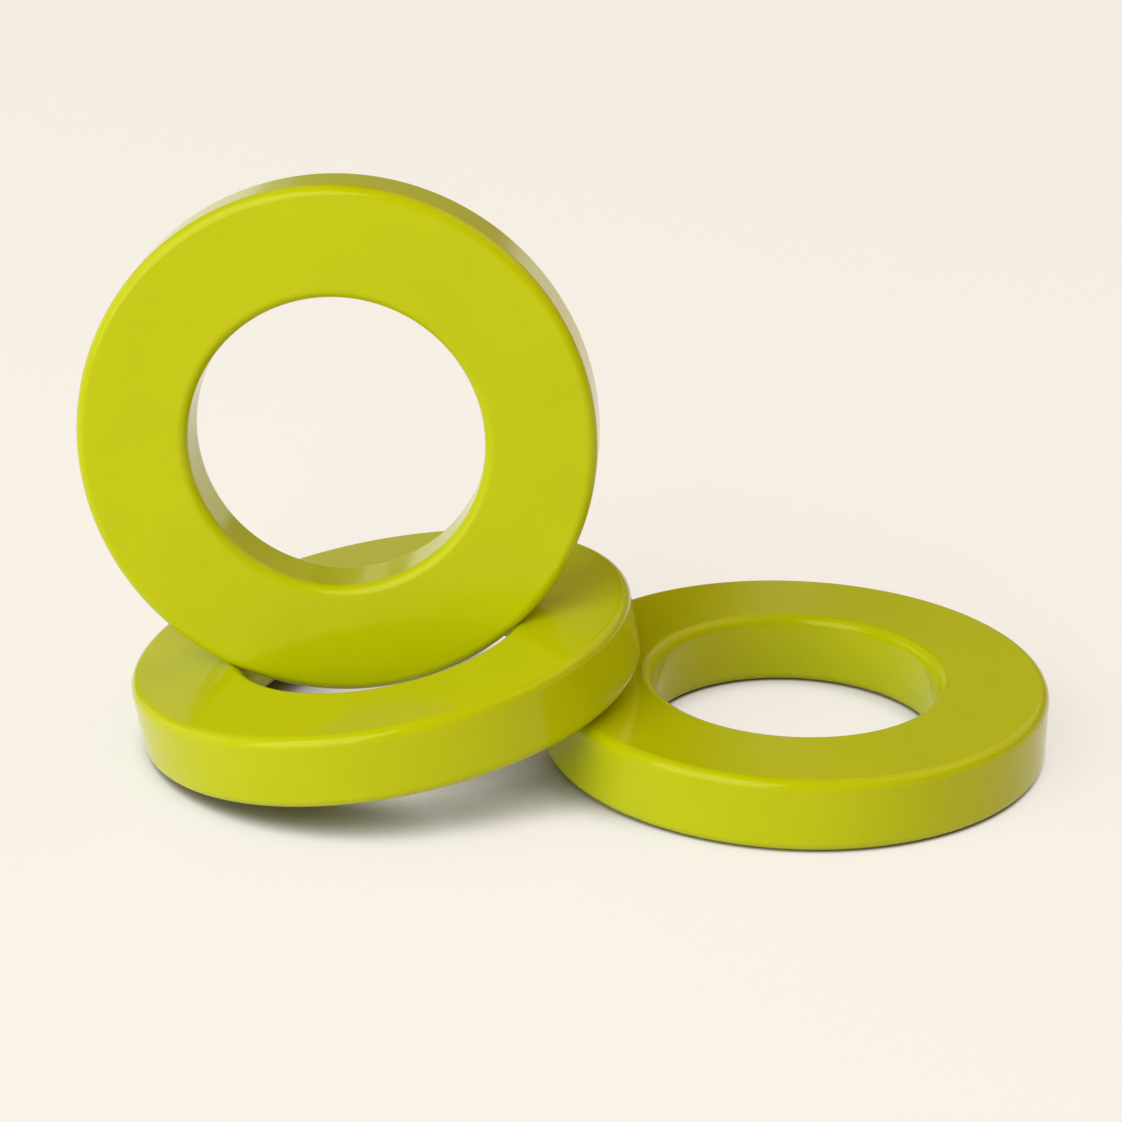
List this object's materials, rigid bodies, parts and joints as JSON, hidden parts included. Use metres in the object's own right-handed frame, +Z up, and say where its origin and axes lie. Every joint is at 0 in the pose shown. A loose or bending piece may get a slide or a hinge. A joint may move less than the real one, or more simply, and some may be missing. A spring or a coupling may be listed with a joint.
{
  "type": "weighted exercise rings",
  "caption": "Thick flat hand rings with an iron core in a silicone jacket, stacked: a ring lies flat, another leans on its edge, and another stands in the leaning ring's hole.",
  "frame": {"origin": "centre of the flat ring's underside, on the floor", "axes": "+Z up, along the flat ring's axis; the leaning and standing rings lie towards -X; the standing ring's front face looks towards -Y"},
  "size_m": [0.3802, 0.2, 0.2265],
  "materials": {
    "jacket_silicone": "satin, moulded, through-coloured chartreuse",
    "dowel_silicone": "matt, moulded, same silicone as the jacket",
    "core_iron": "as cast, primed"
  },
  "bodies": {
    "flat_ring": {"flat_ring_core": "core_iron", "flat_ring_jacket_tray": "jacket_silicone", "flat_ring_jacket_cover": "jacket_silicone", "flat_ring_dowels": "dowel_silicone"},
    "leaning_ring": {"leaning_ring_core": "core_iron", "leaning_ring_jacket_tray": "jacket_silicone", "leaning_ring_jacket_cover": "jacket_silicone", "leaning_ring_dowels": "dowel_silicone"},
    "standing_ring": {"standing_ring_core": "core_iron", "standing_ring_jacket_tray": "jacket_silicone", "standing_ring_jacket_cover": "jacket_silicone", "standing_ring_dowels": "dowel_silicone"}
  },
  "joints": [
    {"name": "leaning_ring_lift", "type": "slide", "parent": "flat_ring", "child": "leaning_ring", "axis": [0, 0, 1], "range_m": [0, 0.12]},
    {"name": "standing_ring_lift", "type": "slide", "parent": "leaning_ring", "child": "standing_ring", "axis": [-0.1823, 0, 0.9833], "range_m": [0, 0.12]}
  ]
}
